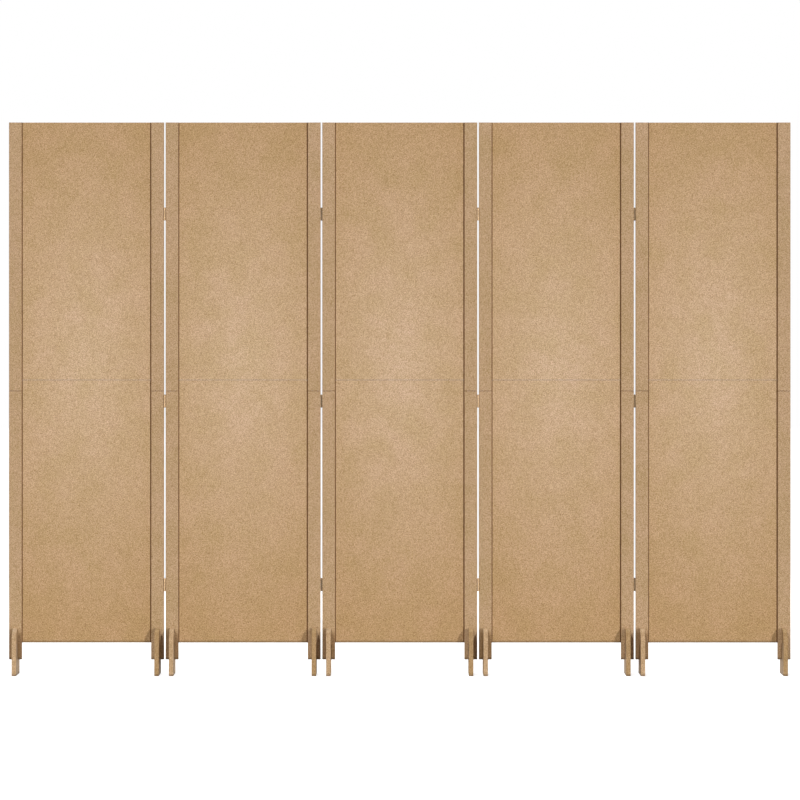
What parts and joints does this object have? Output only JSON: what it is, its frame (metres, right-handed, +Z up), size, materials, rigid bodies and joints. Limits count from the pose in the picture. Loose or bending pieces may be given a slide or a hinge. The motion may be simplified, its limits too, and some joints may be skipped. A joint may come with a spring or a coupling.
{
  "type": "folding screen",
  "caption": "Folding room divider screen of flat raw fibreboard panels in grooved posts, hinged edge to edge in a zigzag and standing on slotted plate feet.",
  "frame": {"origin": "on the floor, under the middle of the screen as it stands open in one straight line", "axes": "+X along the screen, left to right seen from its front; -Y towards the front; +Z up"},
  "size_m": [2.562, 0.15, 1.8103],
  "materials": {
    "post_fibreboard": "raw medium-density fibreboard, sanded, unpainted",
    "board_fibreboard": "raw thin fibreboard with fine darker and paler fibre flecks, unpainted",
    "foot_fibreboard": "raw medium-density fibreboard, sawn edges, unpainted",
    "hinge_steel": "thin pressed steel, zinc plated and passivated, satin"
  },
  "bodies": {
    "panel_1": {"panel_1_left_lower_post": "post_fibreboard", "panel_1_left_upper_post": "post_fibreboard", "panel_1_right_lower_post": "post_fibreboard", "panel_1_right_upper_post": "post_fibreboard", "panel_1_lower_board": "board_fibreboard", "panel_1_upper_board": "board_fibreboard", "panel_1_left_foot": "foot_fibreboard", "panel_1_right_foot": "foot_fibreboard", "hinge_1_2_top_pin_leaf": "hinge_steel", "hinge_1_2_middle_pin_leaf": "hinge_steel", "hinge_1_2_bottom_pin_leaf": "hinge_steel"},
    "panel_2": {"panel_2_left_lower_post": "post_fibreboard", "panel_2_left_upper_post": "post_fibreboard", "panel_2_right_lower_post": "post_fibreboard", "panel_2_right_upper_post": "post_fibreboard", "panel_2_lower_board": "board_fibreboard", "panel_2_upper_board": "board_fibreboard", "panel_2_left_foot": "foot_fibreboard", "panel_2_right_foot": "foot_fibreboard", "hinge_2_3_top_pin_leaf": "hinge_steel", "hinge_2_3_middle_pin_leaf": "hinge_steel", "hinge_2_3_bottom_pin_leaf": "hinge_steel", "hinge_1_2_top_plain_leaf": "hinge_steel", "hinge_1_2_bottom_plain_leaf": "hinge_steel"},
    "panel_3": {"panel_3_left_lower_post": "post_fibreboard", "panel_3_left_upper_post": "post_fibreboard", "panel_3_right_lower_post": "post_fibreboard", "panel_3_right_upper_post": "post_fibreboard", "panel_3_lower_board": "board_fibreboard", "panel_3_upper_board": "board_fibreboard", "panel_3_left_foot": "foot_fibreboard", "panel_3_right_foot": "foot_fibreboard", "hinge_3_4_top_pin_leaf": "hinge_steel", "hinge_3_4_middle_pin_leaf": "hinge_steel", "hinge_3_4_bottom_pin_leaf": "hinge_steel", "hinge_2_3_top_plain_leaf": "hinge_steel", "hinge_2_3_bottom_plain_leaf": "hinge_steel"},
    "panel_4": {"panel_4_left_lower_post": "post_fibreboard", "panel_4_left_upper_post": "post_fibreboard", "panel_4_right_lower_post": "post_fibreboard", "panel_4_right_upper_post": "post_fibreboard", "panel_4_lower_board": "board_fibreboard", "panel_4_upper_board": "board_fibreboard", "panel_4_left_foot": "foot_fibreboard", "panel_4_right_foot": "foot_fibreboard", "hinge_4_5_top_pin_leaf": "hinge_steel", "hinge_4_5_middle_pin_leaf": "hinge_steel", "hinge_4_5_bottom_pin_leaf": "hinge_steel", "hinge_3_4_top_plain_leaf": "hinge_steel", "hinge_3_4_bottom_plain_leaf": "hinge_steel"},
    "panel_5": {"panel_5_left_lower_post": "post_fibreboard", "panel_5_left_upper_post": "post_fibreboard", "panel_5_right_lower_post": "post_fibreboard", "panel_5_right_upper_post": "post_fibreboard", "panel_5_lower_board": "board_fibreboard", "panel_5_upper_board": "board_fibreboard", "panel_5_left_foot": "foot_fibreboard", "panel_5_right_foot": "foot_fibreboard", "hinge_4_5_top_plain_leaf": "hinge_steel", "hinge_4_5_bottom_plain_leaf": "hinge_steel"}
  },
  "joints": [
    {"name": "fold_3_4", "type": "hinge", "parent": "panel_3", "child": "panel_4", "pos_m": [0.25675, -0.0095, 0.9], "axis": [0, 0, -1], "range_deg": [-10, 26]},
    {"name": "fold_4_5", "type": "hinge", "parent": "panel_4", "child": "panel_5", "pos_m": [0.77025, 0.0095, 0.9], "axis": [0, 0, 1], "range_deg": [-10, 26]},
    {"name": "fold_2_3", "type": "hinge", "parent": "panel_3", "child": "panel_2", "pos_m": [-0.25675, 0.0095, 0.9], "axis": [0, 0, -1], "range_deg": [-10, 26]},
    {"name": "fold_1_2", "type": "hinge", "parent": "panel_2", "child": "panel_1", "pos_m": [-0.77025, -0.0095, 0.9], "axis": [0, 0, 1], "range_deg": [-10, 26]}
  ]
}
